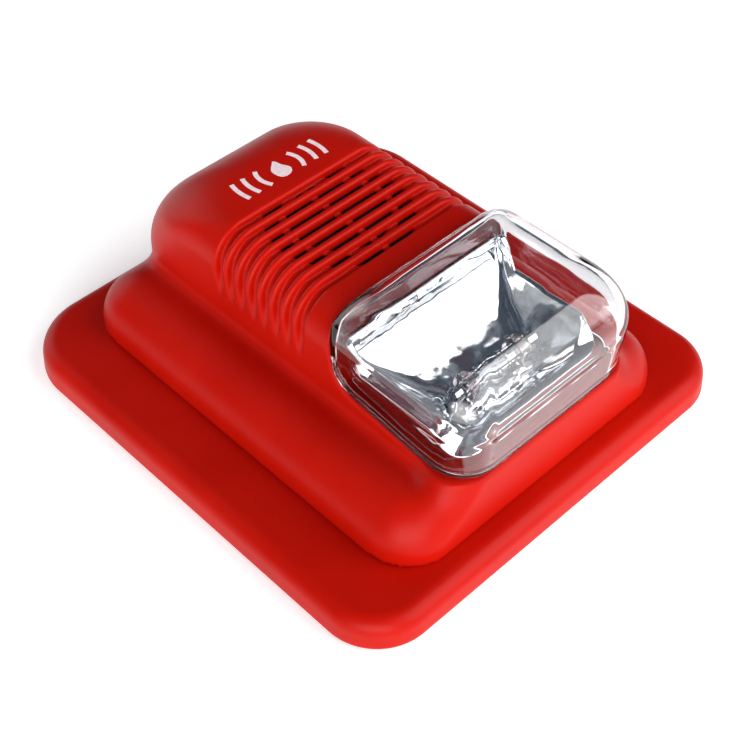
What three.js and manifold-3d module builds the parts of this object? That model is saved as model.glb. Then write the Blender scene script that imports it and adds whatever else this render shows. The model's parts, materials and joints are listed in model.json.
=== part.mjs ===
// Wall-type fire alarm horn strobe: a square base plate, a lift-off head with a ribbed sounder grille,
// and a clear strobe lens over a metallised reflector.
// Millimetres. X runs from side to side, Y runs up the wall, Z points out of the wall.
// The origin is the middle of the base plate's rear face.
import * as THREE from 'three';
import { mergeVertices } from 'three/addons/utils/BufferGeometryUtils.js';
import Module from 'manifold-3d';

const wasm = await Module();
wasm.setup();

const gap = 0.3;                    // clearance between neighbouring pieces

const plate = {
  width: 125, length: 134.3, height: 8.5, lowCorner: 15, highCorner: 18.5, edgeRadius: 3.8, draft: 0.7,
  floor: 2.5, wellHalfWidth: 42, wellFront: -55, wellRear: 53, wellRadius: 10,
  wallHoleRadius: 1.95, wallHoleX: 30,
};
const coring = {
  depth: 6, rib: 2, sideColumns: [48.75, 56.25], sideHalf: 2.75, sidePitch: 22.5,
  endRows: [-60.5, 60], endHalf: 3, endPitch: 19,
};
const grommet = { y: 10, holeRadius: 8, cableRadius: 4.2, flangeRadius: 10, flange: 1.2, lip: 1.6, top: 5.5 };
const post = { x: 38.5, front: -46, rear: 45, radius: 1.7, top: 13.5, collarRadius: 3.3, collarFoot: 9.2 };

const tier = {
  halfWidth: 45.7, front: -60, rear: 58, foot: plate.height + gap, top: 22.5,
  cornerRadius: 12.8, shoulder: 12, wall: 2.5,
};
const hump = {
  halfWidth: 28.5, front: -59.6, rear: 57, top: 47.4, shoulder: 9.5, endRadius: 22,
  frontCorner: 9.5, rearCorner: 12, topCorner: 16, wall: 4,
};
const grille = {
  pitch: 4.06, grooves: 8, firstY: 21.45, width: 2.2, depth: 1.8, fadeZ: 31.5, fadeHeight: 5,
  centreY: 9.6, openRadius: 18.3, webInner: 12.6, webOuter: 14.4, spoke: 1.8, slotWidth: 1.8,
};
const seam = {
  rearY: -15.3, slantTop: 46.5, cornerY: -25.6, cornerZ: 36.8, cornerRadius: 8.2, deckZ: 26, deckY: -44,
};
const pocket = { halfWidth: 25.8, front: -57, rear: -20.5, frontCorner: 7, rearCorner: 2 };
const lampRoom = { halfWidth: 26, front: -56.5, rear: -12, top: seam.deckZ - 2.5 };
const lens = {
  halfWidth: 29.4, front: -60.6, rear: -16.5, base: 20, top: 54, shoulder: 11.5, frontEdge: 14,
  rearEdge: 7, frontCorner: 9.5, rearCorner: 3, topCorner: 9, wall: 2.3, lift: 1.2, bulge: 0.9,
  bulgeZ: 38,
};
const gasket = { inner: gap, outer: 0.9, archWidth: 3 };

const board = { halfWidth: 33, front: -50, rear: 48, bottom: 15.5, thickness: 1.6, cornerRadius: 3 };
const boardTop = board.bottom + board.thickness;
const boss = { x: 29.5, front: -44, rear: 42, radius: 3, pilotRadius: 1.5, pilotTop: 20.9 };
const boardScrew = {
  headRadius: 2.75, headHeight: 1.8, shankRadius: 1.2, tip: 20.5, crossReach: 1.6, crossHalf: 0.35,
  crossDepth: 0.8, holeRadius: 1.6,
};

const terminal = {
  ways: 4, pitch: 5.08, y: -22, depth: 12.4, base: plate.floor + gap, top: 13.8, screwY: -24.6,
  springY: -18.4, boreRadius: 2, cellHalfX: 2, cellHalfY: 2.4, cellTop: 11, endWall: 0.8, cellFloor: 1,
  entryHalfX: 1.5, entryLow: 1.6, entryHigh: 10,
};
const clampScrew = { head: 1.8, shank: 6.2, shankRadius: 1.05, slotHalf: 0.3, slotDepth: 0.7, drop: 0.2 };
const clamp = { halfX: 1.7, halfY: 2, base: 4.1, height: 4.4, wall: 0.7, roof: 1.2 };
const spring = { leaf: 0.35, halfSpan: 2.3, halfWidth: 1.1, steps: 6 };

const sounder = {
  y: grille.centreY, ringInner: 18.6, ringOuter: 19.6, ringBottom: 41, cupRadius: 21, cupWall: 1.1,
  cupBottom: 33, cupFloor: 1.5, cupTop: 41.8, leadX: 12, leadRadius: 1.5, discRadius: 17.5, cushionInner: 15,
  cushionHeight: 2, plateLow: 37.1, discHeight: 0.4, ceramicRadius: 12, meshLow: 42.5, meshHeight: 0.6,
};
const tube = {
  y: -41, z: 31, radius: 2.2, halfLength: 10.6, capLength: 2.6, capRadius: 1.7, leadRadius: 0.45,
  holderX: 8, holderRadius: 3.6, holderFoot: 3.2, holderHalf: 1.4,
};
const trigger = { turns: 3, wireRadius: 0.22, halfLength: 5 };

const redAbs = { color: 0xc41c0c, roughness: 0.42, metalness: 0 };
const blackAbs = { color: 0x1a1a1c, roughness: 0.5, metalness: 0 };
const clearPc = { color: 0xf2f4f4, roughness: 0.05, metalness: 0, transparent: true, opacity: 0.3 };
const silicone = { color: 0xe8d8d6, roughness: 0.45, metalness: 0 };
const chrome = { color: 0xe6e8ea, roughness: 0.06, metalness: 1 };
const steel = { color: 0xb9bcc0, roughness: 0.3, metalness: 1 };
const brass = { color: 0xc9a24d, roughness: 0.3, metalness: 1 };
const boardGreen = { color: 0x1f5a36, roughness: 0.45, metalness: 0 };
const rubber = { color: 0x202020, roughness: 0.75, metalness: 0 };
const ceramic = { color: 0xe9e6dd, roughness: 0.5, metalness: 0 };
const nylon = { color: 0xf0f0ee, roughness: 0.5, metalness: 0 };
const terminalGreen = { color: 0x2d6a3f, roughness: 0.5, metalness: 0 };
const sleeve = { color: 0x20262e, roughness: 0.35, metalness: 0.2 };
const ferrite = { color: 0x2b2b2b, roughness: 0.6, metalness: 0 };
const winding = { color: 0x8a4a1e, roughness: 0.5, metalness: 0 };
const switchRed = { color: 0xb32020, roughness: 0.5, metalness: 0 };
const trimmerBlue = { color: 0x2b4f9c, roughness: 0.45, metalness: 0 };

const horn = new THREE.Group();

// A closed three.js geometry as a manifold solid.
function solid(geometry) {
  const bare = geometry.clone();
  bare.deleteAttribute('normal');
  bare.deleteAttribute('uv');
  const merged = mergeVertices(bare, 1e-4);
  return new wasm.Manifold(new wasm.Mesh({
    numProp: 3,
    vertProperties: new Float32Array(merged.attributes.position.array),
    triVerts: new Uint32Array(merged.index.array),
  }));
}

// A manifold solid back as a three.js geometry.
function geometryOf(body) {
  const mesh = body.getMesh();
  const geometry = new THREE.BufferGeometry();
  geometry.setAttribute('position', new THREE.BufferAttribute(mesh.vertProperties, mesh.numProp));
  geometry.setIndex(new THREE.BufferAttribute(mesh.triVerts, 1));
  geometry.computeVertexNormals();
  return geometry;
}

function add(name, shape, look, x = 0, y = 0, z = 0) {
  const geometry = shape.isBufferGeometry ? shape : geometryOf(shape);
  const mesh = new THREE.Mesh(geometry, new THREE.MeshStandardMaterial(look));
  mesh.name = name;
  mesh.position.set(x, y, z);
  horn.add(mesh);
  return mesh;
}

function box(x0, x1, y0, y1, z0, z1) {
  const geometry = new THREE.BoxGeometry(x1 - x0, y1 - y0, z1 - z0);
  return solid(geometry.translate((x0 + x1) / 2, (y0 + y1) / 2, (z0 + z1) / 2));
}

// A cylinder standing along Z.
function rod(radius, x, y, z0, z1, sides = 16) {
  const geometry = new THREE.CylinderGeometry(radius, radius, z1 - z0, sides);
  return solid(geometry.rotateX(Math.PI / 2).translate(x, y, (z0 + z1) / 2));
}

// A cylinder lying along X.
function rodX(radius, x0, x1, y, z, sides = 20) {
  const geometry = new THREE.CylinderGeometry(radius, radius, x1 - x0, sides);
  return solid(geometry.rotateZ(Math.PI / 2).translate((x0 + x1) / 2, y, z));
}

// A closed lathe profile of [radius, height] points, turned about Z.
function turned(points, sides = 24) {
  const profile = points.map(([radius, height]) => new THREE.Vector2(radius, height));
  profile.push(profile[0].clone());
  const geometry = new THREE.LatheGeometry(profile, sides);
  return solid(geometry.rotateX(Math.PI / 2));
}

// A rounded rectangle from -halfWidth to halfWidth and from front to rear, at one height.
function ring(halfWidth, front, rear, frontRadius, rearRadius, z, steps = 4) {
  const corners = [
    [halfWidth - rearRadius, rear - rearRadius, rearRadius, 0],
    [-halfWidth + rearRadius, rear - rearRadius, rearRadius, 1],
    [-halfWidth + frontRadius, front + frontRadius, frontRadius, 2],
    [halfWidth - frontRadius, front + frontRadius, frontRadius, 3],
  ];
  return corners.flatMap(([x, y, radius, quarter]) =>
    Array.from({ length: steps + 1 }, (_, i) => {
      const angle = (quarter + i / steps) * Math.PI / 2;
      return new THREE.Vector3(x + radius * Math.cos(angle), y + radius * Math.sin(angle), z);
    }));
}

// A closed body skinned over rings of equal point count, lowest first.
function loft(rings) {
  const count = rings[0].length;
  const middle = (points) => points.reduce((sum, p) => sum.add(p), new THREE.Vector3()).divideScalar(count);
  const points = [...rings.flat(), middle(rings[0]), middle(rings[rings.length - 1])];
  const lowCentre = rings.length * count;
  const topStart = (rings.length - 1) * count;
  const index = [];
  for (let i = 0; i < count; i++) {
    const next = (i + 1) % count;
    for (let k = 0; k < rings.length - 1; k++) {
      const low = k * count;
      const high = low + count;
      index.push(low + i, low + next, high + next, low + i, high + next, high + i);
    }
    index.push(lowCentre, next, i, lowCentre + 1, topStart + i, topStart + next);
  }
  const geometry = new THREE.BufferGeometry().setFromPoints(points);
  geometry.setIndex(index);
  return solid(geometry);
}

// How far a quarter-round edge of the given radius has pulled in at height z, ending at height top.
function roundIn(radius, top, z) {
  const rise = Math.max(0, z - (top - radius));
  return radius - Math.sqrt(Math.max(0, radius * radius - rise * rise));
}

// Heights up a wall and round its top edge.
function heights(base, top, radius, steps = 4, extra = []) {
  const round = Array.from({ length: steps + 1 },
    (_, i) => top - radius + radius * Math.sin((i / steps) * Math.PI / 2));
  return [base, ...extra, ...round];
}

// An outline of [y, z] points carried along X.
function prismX(outline, halfWidth) {
  const shape = new THREE.Shape(outline.map(([y, z]) => new THREE.Vector2(y, z)));
  const geometry = new THREE.ExtrudeGeometry(shape, { depth: 2 * halfWidth, bevelEnabled: false });
  const turn = new THREE.Matrix4().makeBasis(
    new THREE.Vector3(0, 1, 0), new THREE.Vector3(0, 0, 1), new THREE.Vector3(1, 0, 0));
  return solid(geometry.applyMatrix4(turn).translate(-halfWidth, 0, 0));
}

// An outline of [x, z] points carried along Y, from y0 to y1.
function prismY(outline, y0, y1) {
  const shape = new THREE.Shape(outline.map(([x, z]) => new THREE.Vector2(x, z)));
  const geometry = new THREE.ExtrudeGeometry(shape, { depth: y1 - y0, bevelEnabled: false });
  const turn = new THREE.Matrix4().makeBasis(
    new THREE.Vector3(1, 0, 0), new THREE.Vector3(0, 0, 1), new THREE.Vector3(0, -1, 0));
  return solid(geometry.applyMatrix4(turn).translate(0, y1, 0));
}

function arc(centre, radius, fromDegrees, toDegrees, steps = 6) {
  return Array.from({ length: steps + 1 }, (_, i) => {
    const angle = THREE.MathUtils.degToRad(fromDegrees + (toDegrees - fromDegrees) * i / steps);
    return [centre[0] + radius * Math.cos(angle), centre[1] + radius * Math.sin(angle)];
  });
}

const union = (bodies) => bodies.reduce((all, body) => all.add(body));
const eachSide = (make) => [-1, 1].map(make);
const corners = (x, front, rear, make) =>
  eachSide((side) => [make(side * x, front), make(side * x, rear)]).flat();

function roundedPlate() {
  return loft(heights(0, plate.height, plate.edgeRadius, 4).map((z) => {
    const inset = plate.draft * z / plate.height + roundIn(plate.edgeRadius, plate.height, z);
    const halfLength = plate.length / 2 - inset;
    return ring(plate.width / 2 - inset, -halfLength, halfLength,
      plate.lowCorner - inset, plate.highCorner - inset, z, 6);
  }));
}

// Pockets cored out of the thick border from behind, with ribs left between them.
function coringPockets() {
  const { depth, rib, sideColumns, sideHalf, sidePitch, endRows, endHalf, endPitch } = coring;
  const steps = [-2, -1, 0, 1];
  const sides = sideColumns.flatMap((column) => [-column, column]).flatMap((x) => steps.map((step) =>
    box(x - sideHalf, x + sideHalf, step * sidePitch + rib, (step + 1) * sidePitch, -1, depth)));
  const ends = endRows.flatMap((y) => steps.map((step) =>
    box(step * endPitch + rib, (step + 1) * endPitch, y - endHalf, y + endHalf, -1, depth)));
  return [...sides, ...ends];
}

function basePlate() {
  const well = loft([plate.floor, plate.height + 1].map((z) => ring(
    plate.wellHalfWidth, plate.wellFront, plate.wellRear, plate.wellRadius, plate.wellRadius, z)));
  const posts = corners(post.x, post.front, post.rear, (x, y) =>
    rod(post.radius, x, y, plate.floor - 0.5, post.top, 12));
  const holes = eachSide((side) => rod(plate.wallHoleRadius, side * plate.wallHoleX, 0, -1, 4, 16));
  holes.push(rod(grommet.holeRadius, 0, grommet.y, -1, 4, 32));
  return roundedPlate().subtract(union([well, ...coringPockets()])).add(union(posts)).subtract(union(holes));
}

function cableGrommet() {
  const neck = grommet.holeRadius - gap;
  const shelf = plate.floor + gap;
  return turned([
    [grommet.cableRadius, gap], [neck, gap], [neck, shelf], [grommet.flangeRadius, shelf],
    [grommet.flangeRadius, shelf + grommet.flange], [grommet.cableRadius + grommet.lip, grommet.top],
    [grommet.cableRadius, grommet.top],
  ]).translate([0, grommet.y, 0]);
}

const wayX = (way) => (way - (terminal.ways - 1) / 2) * terminal.pitch;
const ways = Array.from({ length: terminal.ways }, (_, way) => way);

function terminalBlock() {
  const halfWidth = terminal.ways * terminal.pitch / 2 + terminal.endWall;
  const front = terminal.y - terminal.depth / 2;
  const rear = terminal.y + terminal.depth / 2;
  const body = box(-halfWidth, halfWidth, front, rear, terminal.base, terminal.top);
  const floorZ = terminal.base + terminal.cellFloor;
  const cells = ways.flatMap((way) => {
    const x = wayX(way);
    return [
      box(x - terminal.cellHalfX, x + terminal.cellHalfX, terminal.screwY - terminal.cellHalfY,
        terminal.screwY + terminal.cellHalfY, floorZ, terminal.cellTop),
      rod(terminal.boreRadius, x, terminal.screwY, terminal.cellTop - 0.5, terminal.top + 1),
      box(x - terminal.entryHalfX, x + terminal.entryHalfX, front - 1, terminal.screwY,
        terminal.base + terminal.entryLow, terminal.entryHigh),
    ];
  });
  return body.subtract(union(cells));
}

// A slotted clamp screw, held endways in its bore.
function terminalScrew() {
  const head = rod(terminal.boreRadius - gap, 0, 0, -clampScrew.head, 0);
  const shank = rod(clampScrew.shankRadius, 0, 0, -clampScrew.shank, 0.1 - clampScrew.head, 12);
  const slot = box(-3, 3, -clampScrew.slotHalf, clampScrew.slotHalf, -clampScrew.slotDepth, 1);
  return head.add(shank).subtract(slot);
}

// A rising cage: the screw turns in its roof and draws it up against the wire.
function wireClamp() {
  const cage = box(-clamp.halfX, clamp.halfX, -clamp.halfY, clamp.halfY, 0, clamp.height);
  const wireWay = box(-clamp.halfX + clamp.wall, clamp.halfX - clamp.wall, -4, 4,
    clamp.wall, clamp.height - clamp.roof);
  return cage.subtract(wireWay.add(rod(clampScrew.shankRadius + gap, 0, 0, 1, clamp.height + 1, 16)));
}

// A leaf spring that arches up to a pad under the circuit board.
function contactSpring() {
  const foot = terminal.top + gap;
  const crest = board.bottom - gap;
  const { leaf, halfSpan, halfWidth, steps } = spring;
  const rise = (t) => (crest - leaf - foot) * Math.sin(t * Math.PI);
  const under = Array.from({ length: steps + 1 }, (_, i) =>
    [halfSpan * (2 * i / steps - 1), foot + rise(i / steps)]);
  const over = under.map(([y, z]) => [y, z + leaf]).reverse();
  return prismX([...under, ...over], halfWidth);
}

// Everything in front of the strobe seam, lifted off it by a clearance.
function aheadOfSeam(lift) {
  const outline = [
    [seam.rearY - lift, 70], [seam.rearY - lift, seam.slantTop],
    ...arc([seam.cornerY, seam.cornerZ], seam.cornerRadius - lift, 0, -90, 5),
    [seam.deckY, seam.deckZ + lift], [-70, seam.deckZ + lift], [-70, 70],
  ];
  return prismX(outline, 60);
}

function tierBody(inset, base, top) {
  const radius = tier.shoulder - inset;
  return loft(heights(base, top, radius).map((z) => {
    const pull = inset + roundIn(radius, top, z);
    const corner = Math.max(1, tier.cornerRadius - pull);
    return ring(tier.halfWidth - pull, tier.front + pull, tier.rear - pull, corner, corner, z);
  }));
}

function humpBody(inset, front, base, top) {
  const endRadius = hump.endRadius - inset;
  const middle = top - endRadius;
  const extra = [middle, middle + 0.45 * (endRadius - hump.shoulder)];
  return loft(heights(base, top, hump.shoulder - inset, 5, extra).map((z) => {
    const side = inset + roundIn(hump.shoulder - inset, top, z);
    const end = inset + roundIn(endRadius, top, z);
    const rise = Math.max(0, (z - middle) / endRadius);
    const rearCorner = THREE.MathUtils.lerp(hump.rearCorner, hump.topCorner, rise) - inset;
    return ring(hump.halfWidth - side, front, hump.rear - end, hump.frontCorner - inset, rearCorner, z);
  }));
}

// The hump's cross-section pulled in by a depth, as an arch of [x, z] points from left to right.
function arch(depth, footZ) {
  const x = hump.halfWidth - hump.shoulder;
  const z = hump.top - hump.shoulder;
  const radius = hump.shoulder - depth;
  return [
    [-hump.halfWidth + depth, footZ], ...arc([-x, z], radius, 180, 90),
    ...arc([x, z], radius, 90, 0), [hump.halfWidth - depth, footZ],
  ];
}

const grooveY = (i) => grille.firstY - i * grille.pitch;
const grooves = Array.from({ length: grille.grooves }, (_, i) => grooveY(i));

// Valleys between the ribs, running over the roof and fading out down both sides.
function grilleGrooves() {
  const valley = arch(grille.depth, grille.fadeZ + grille.fadeHeight);
  const outline = [
    [-40, grille.fadeZ], [-hump.halfWidth - 0.05, grille.fadeZ], ...valley,
    [hump.halfWidth + 0.05, grille.fadeZ], [40, grille.fadeZ], [40, 60], [-40, 60],
  ];
  return grooves.map((y) => prismY(outline, y - grille.width / 2, y + grille.width / 2));
}

// Sound slots through the valley floors, inside a circle that a ring web and a spoke cross.
function soundSlots() {
  const low = hump.top - hump.wall - 1;
  const high = hump.top - grille.depth + 0.5;
  const circle = (radius) => rod(radius, 0, grille.centreY, low, high, 32);
  const web = circle(grille.webOuter).subtract(circle(grille.webInner));
  const spoke = box(-grille.spoke / 2, grille.spoke / 2, -20, 40, low, high);
  const rows = grooves.map((y) => box(-30, 30, y - grille.slotWidth / 2, y + grille.slotWidth / 2, low, high));
  return union(rows).intersect(circle(grille.openRadius)).subtract(web).subtract(spoke);
}

function casingFittings() {
  const bosses = corners(boss.x, boss.front, boss.rear, (x, y) =>
    rod(boss.radius, x, y, boardTop + gap, tier.top, 12));
  const collars = corners(post.x, post.front, post.rear, (x, y) =>
    rod(post.collarRadius, x, y, post.collarFoot, tier.top, 12));
  const ringWall = rod(sounder.ringOuter, 0, sounder.y, sounder.ringBottom, hump.top - 2, 32)
    .subtract(rod(sounder.ringInner, 0, sounder.y, 30, 60, 32));
  return union([...bosses, ...collars, ringWall]);
}

function frontHousing() {
  const foot = tier.foot;
  const outer = tierBody(0, foot, tier.top).add(humpBody(0, hump.front, foot, hump.top));
  const hornRoom = humpBody(hump.wall, seam.rearY + 2.5, foot - 1, hump.top - hump.wall);
  const wiringRoom = tierBody(tier.wall, foot - 1, tier.top - tier.wall);
  const { frontCorner, rearCorner } = pocket;
  const chamber = loft([foot - 1, lampRoom.top].map((z) => ring(
    lampRoom.halfWidth, lampRoom.front, lampRoom.rear, frontCorner, rearCorner, z)));
  const recess = loft([seam.deckZ, 60].map((z) => ring(
    pocket.halfWidth, pocket.front, pocket.rear, frontCorner, rearCorner, z)));
  const shell = outer.subtract(union([hornRoom, wiringRoom, chamber, recess])).subtract(aheadOfSeam(0));
  const inside = casingFittings().intersect(outer.subtract(aheadOfSeam(-gap)));
  const bores = [
    ...corners(post.x, post.front, post.rear, (x, y) => rod(post.radius + gap, x, y, 9, post.top + 0.6, 12)),
    ...corners(boss.x, boss.front, boss.rear, (x, y) => rod(boss.pilotRadius, x, y, 17, boss.pilotTop, 10)),
    ...eachSide((side) => rod(1.3, side * leadX, tube.y, 20, 30, 12)),
  ];
  return shell.add(inside).subtract(union([...grilleGrooves(), soundSlots(), ...bores]));
}

function lensBody(inset) {
  const top = lens.top - inset;
  const extra = [lens.bulgeZ];
  return loft(heights(lens.base - inset, top, lens.shoulder - inset, 5, extra).map((z) => {
    const bulge = inset + lens.bulge * Math.max(0, (lens.bulgeZ - z) / (lens.bulgeZ - seam.deckZ));
    const side = bulge + roundIn(lens.shoulder - inset, top, z);
    const front = lens.front + bulge + roundIn(lens.frontEdge - inset, top, z);
    const rear = lens.rear - inset - roundIn(lens.rearEdge - inset, top, z);
    const rise = Math.max(0, (z - hump.top) / (lens.top - hump.top));
    const rearCorner = Math.max(0.8, THREE.MathUtils.lerp(lens.rearCorner, lens.topCorner, rise) - inset);
    return ring(lens.halfWidth - side, front, rear, lens.frontCorner - inset, rearCorner, z);
  }));
}

const lensWall = () => lensBody(0).subtract(lensBody(lens.wall));

function strobeLens() {
  return lensWall().intersect(aheadOfSeam(lens.lift));
}

// A silicone seal squeezed between the lens rim and the casing, all the way round.
function lensGasket() {
  const footprint = (inset) => loft([lens.base - 1, hump.top].map((z) => ring(
    hump.halfWidth - inset, hump.front + inset, seam.rearY + 1, hump.frontCorner - inset, 1, z, 4)));
  const section = (depth) => prismY(arch(depth, lens.base), -70, 5);
  const rim = footprint(gap).intersect(section(gap));
  const hollow = footprint(lens.wall).intersect(section(gasket.archWidth));
  return rim.subtract(hollow).intersect(aheadOfSeam(gasket.inner)).subtract(aheadOfSeam(gasket.outer));
}

// The reflector's bowl: each side swells from the lamp's floor to the rim along a curve of its own.
const bowl = {
  floor: 26.3, top: 42, levels: [0, 0.1, 0.2, 0.35, 0.5, 0.7, 1], corner: 6, wall: 1,
  half: [14, 24.6, 2.5], front: [-47.5, -54, 5], rear: [-34.5, -19.6, 2.15],    // start, end, power
  rim: [[-60, 30], [-52.5, 30], [-46.5, 35], [-24, 35], [-20.8, 41], [-15, 41]],
  apronHalf: 25.3, apronFront: -55.8, apronRear: -20.9, apronFoot: 26.6,
};

function bowlSolid(inset) {
  return loft(bowl.levels.map((t) => {
    const [half, front, rear] = [bowl.half, bowl.front, bowl.rear].map(([start, end, power]) =>
      start + (end - start) * (1 - (1 - t) ** power));
    const z = bowl.floor + (bowl.top - bowl.floor) * t + inset;
    const corner = bowl.corner - inset;
    return ring(half - inset, front + inset, rear - inset, corner, corner, z);
  }));
}

// A skirt that falls from the rim to the pocket's floor, outside the bowl.
function apron(inset) {
  return loft([bowl.apronFoot - inset, bowl.top + inset].map((z) => ring(
    bowl.apronHalf - inset, bowl.apronFront + inset, bowl.apronRear - inset,
    pocket.frontCorner - inset, pocket.rearCorner - inset, z)));
}

const leadX = tube.halfLength + gap + tube.capLength / 2;

function reflector() {
  const { wall, rim } = bowl;
  const aboveRim = prismX([...rim, [-15, 60], [-60, 60]], 40);
  const leadHoles = eachSide((side) => rod(1, side * leadX, tube.y, 20, 30.5, 12));
  const underRim = prismX([...rim, ...rim.map(([y, z]) => [y, z - wall]).reverse()], 40);
  const skirt = apron(0).subtract(apron(wall));
  const lip = apron(0).intersect(underRim);
  const sheet = union([bowlSolid(0), skirt, lip]).subtract(bowlSolid(wall));
  return sheet.subtract(aboveRim).subtract(union(leadHoles));
}

function xenonTube() {
  return rodX(tube.radius, -tube.halfLength, tube.halfLength, 0, 0, 20);
}

// An end cap with its lead running down to the circuit board.
function electrode(side) {
  const inner = tube.halfLength + gap;
  const ends = [side * inner, side * (inner + tube.capLength)].sort((a, b) => a - b);
  const lead = rod(tube.leadRadius, side * leadX, tube.y, boardTop + gap, tube.z, 8);
  return rodX(tube.capRadius, ...ends, tube.y, tube.z, 16).add(lead);
}

// A moulded silicone saddle that grips the tube.
function tubeHolder() {
  const { holderRadius, holderFoot, holderHalf } = tube;
  const crown = arc([0, 0], holderRadius, 0, 180, 10);
  const saddle = prismX([[-holderRadius, -holderFoot], [holderRadius, -holderFoot], ...crown], holderHalf);
  return saddle.subtract(rodX(tube.radius + gap, -3, 3, 0, 0, 20));
}

class Helix extends THREE.Curve {
  constructor(radius, halfLength, turns) {
    super();
    Object.assign(this, { radius, halfLength, turns });
  }

  getPoint(t, target = new THREE.Vector3()) {
    const angle = 2 * Math.PI * this.turns * t;
    return target.set(
      this.halfLength * (2 * t - 1), this.radius * Math.cos(angle), this.radius * Math.sin(angle));
  }
}

function triggerWire() {
  const { turns, wireRadius, halfLength } = trigger;
  const section = new THREE.Shape(arc([0, 0], wireRadius, 0, 300, 5).map(([x, y]) => new THREE.Vector2(x, y)));
  const path = new Helix(tube.radius + 2 * gap, halfLength, turns);
  return solid(new THREE.ExtrudeGeometry(section, { steps: turns * 10, extrudePath: path }));
}

function sounderCup() {
  const { cupRadius, cupWall, cupBottom, cupFloor, cupTop, leadX: holeX, leadRadius } = sounder;
  const leadHole = rod(leadRadius, holeX, 0, cupBottom - 1, cupBottom + cupFloor + 1, 12);
  return turned([
    [0, cupBottom], [cupRadius, cupBottom], [cupRadius, cupTop], [cupRadius - cupWall, cupTop],
    [cupRadius - cupWall, cupBottom + cupFloor], [0, cupBottom + cupFloor],
  ], 28).subtract(leadHole);
}

const disc = (radius, z0, z1, sides = 28) => rod(radius, 0, 0, z0, z1, sides);

function piezoRing() {
  const low = sounder.cupBottom + sounder.cupFloor + gap;
  const high = low + sounder.cushionHeight;
  return disc(sounder.discRadius, low, high).subtract(disc(sounder.cushionInner, low - 1, high + 1));
}

function circuitBoard() {
  const blank = loft([board.bottom, boardTop].map((z) => ring(
    board.halfWidth, board.front, board.rear, board.cornerRadius, board.cornerRadius, z, 3)));
  const holes = corners(boss.x, boss.front, boss.rear, (x, y) => rod(boardScrew.holeRadius, x, y, 10, 20));
  return blank.subtract(union(holes));
}

// A cross-recessed self-tapping screw, driven from behind the board.
function boardScrewBody() {
  const headTop = board.bottom - gap;
  const headBottom = headTop - boardScrew.headHeight;
  const head = disc(boardScrew.headRadius, headBottom, headTop, 12);
  const shank = disc(boardScrew.shankRadius, headTop - 0.2, boardScrew.tip, 8);
  const { crossReach: reach, crossHalf: half, crossDepth } = boardScrew;
  const cross = box(-reach, reach, -half, half, headBottom - 1, headBottom + crossDepth)
    .add(box(-half, half, -reach, reach, headBottom - 1, headBottom + crossDepth));
  return head.add(shank).subtract(cross);
}

// A lying capacitor can with its vent end grooved.
function capacitor(radius, length) {
  const grooveEnd = length / 2 - 2;
  const groove = rodX(radius + 1, grooveEnd - 1, grooveEnd, 0, 0, 24)
    .subtract(rodX(radius - 0.5, grooveEnd - 2, grooveEnd + 2, 0, 0, 24));
  return rodX(radius, -length / 2, length / 2, 0, 0, 20).subtract(groove);
}

const core = {
  halfX: 8, halfY: 6.5, height: 12, windowNear: 2.6, windowFar: 5.4, windowLow: 2.5, windowHigh: 9.5,
  windingGap: 0.2, windingReach: 8.4,
};

// A laminated core with its winding showing through both windows.
function transformer() {
  const frame = box(-core.halfX, core.halfX, -core.halfY, core.halfY, 0, core.height);
  const windows = eachSide((side) => {
    const [near, far] = [side * core.windowNear, side * core.windowFar].sort((a, b) => a - b);
    return box(near, far, -core.halfX, core.halfX, core.windowLow, core.windowHigh);
  });
  const halfX = core.windowFar - core.windingGap;
  const halfY = core.windingReach;
  const low = core.windowLow + core.windingGap;
  const high = core.windowHigh - core.windingGap;
  const wound = box(-halfX, halfX, -halfY, halfY, low, high);
  return frame.subtract(union(windows)).add(wound);
}

const coil = { flangeRadius: 4, woundRadius: 2.8, innerRadius: 2.3, halfLength: 7, woundHalf: 5.8 };

function triggerCoil() {
  const bobbin = rodX(coil.woundRadius, -coil.halfLength, coil.halfLength, 0, 0, 24);
  const neck = rodX(coil.flangeRadius, -coil.woundHalf, coil.woundHalf, 0, 0, 24)
    .subtract(rodX(coil.innerRadius, -6, 6, 0, 0, 24));
  return bobbin.subtract(neck);
}

const chipBody = {
  halfX: 5, halfY: 2, low: 0.3, top: 1.7, legs: 8, pitch: 1.27, legHalf: 0.25, legReach: 1, leg: 0.7,
};

// A chip in a small-outline package: a body with legs down each long side.
function chip() {
  const { halfX, halfY, legs, pitch, legHalf, legReach, leg } = chipBody;
  const feet = Array.from({ length: legs }, (_, i) => {
    const x = (i - (legs - 1) / 2) * pitch;
    return box(x - legHalf, x + legHalf, -halfY - legReach, halfY + legReach, 0, leg);
  });
  return box(-halfX, halfX, -halfY, halfY, chipBody.low, chipBody.top).add(union(feet));
}

const transistor = {
  halfX: 5, front: -1.4, rear: 1.9, low: 4, shoulder: 12.5, tabFront: 0.7, top: 18, holeRadius: 1.8,
  holeZ: 15.2, legX: [-2.54, 0, 2.54], legHalfX: 0.4, legHalfY: 0.3,
};

// An upright power transistor with its metal tab and three legs.
function powerTransistor() {
  const { halfX, rear, low, shoulder, top } = transistor;
  const body = box(-halfX, halfX, transistor.front, rear, low, shoulder);
  const hole = new THREE.CylinderGeometry(transistor.holeRadius, transistor.holeRadius, 5, 16);
  const tab = box(-halfX, halfX, transistor.tabFront, rear, shoulder - 0.5, top)
    .subtract(solid(hole.translate(0, 1, transistor.holeZ)));
  const legs = transistor.legX.map((x) => box(x - transistor.legHalfX, x + transistor.legHalfX,
    -transistor.legHalfY, transistor.legHalfY, 0, low + 0.5));
  return union([body, tab, ...legs]);
}

const bridge = { halfX: 3.4, halfY: 2.4, low: 0.2, top: 2.2, legX: 1.3, legHalf: 0.4, legReach: 1, leg: 0.8 };

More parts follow.
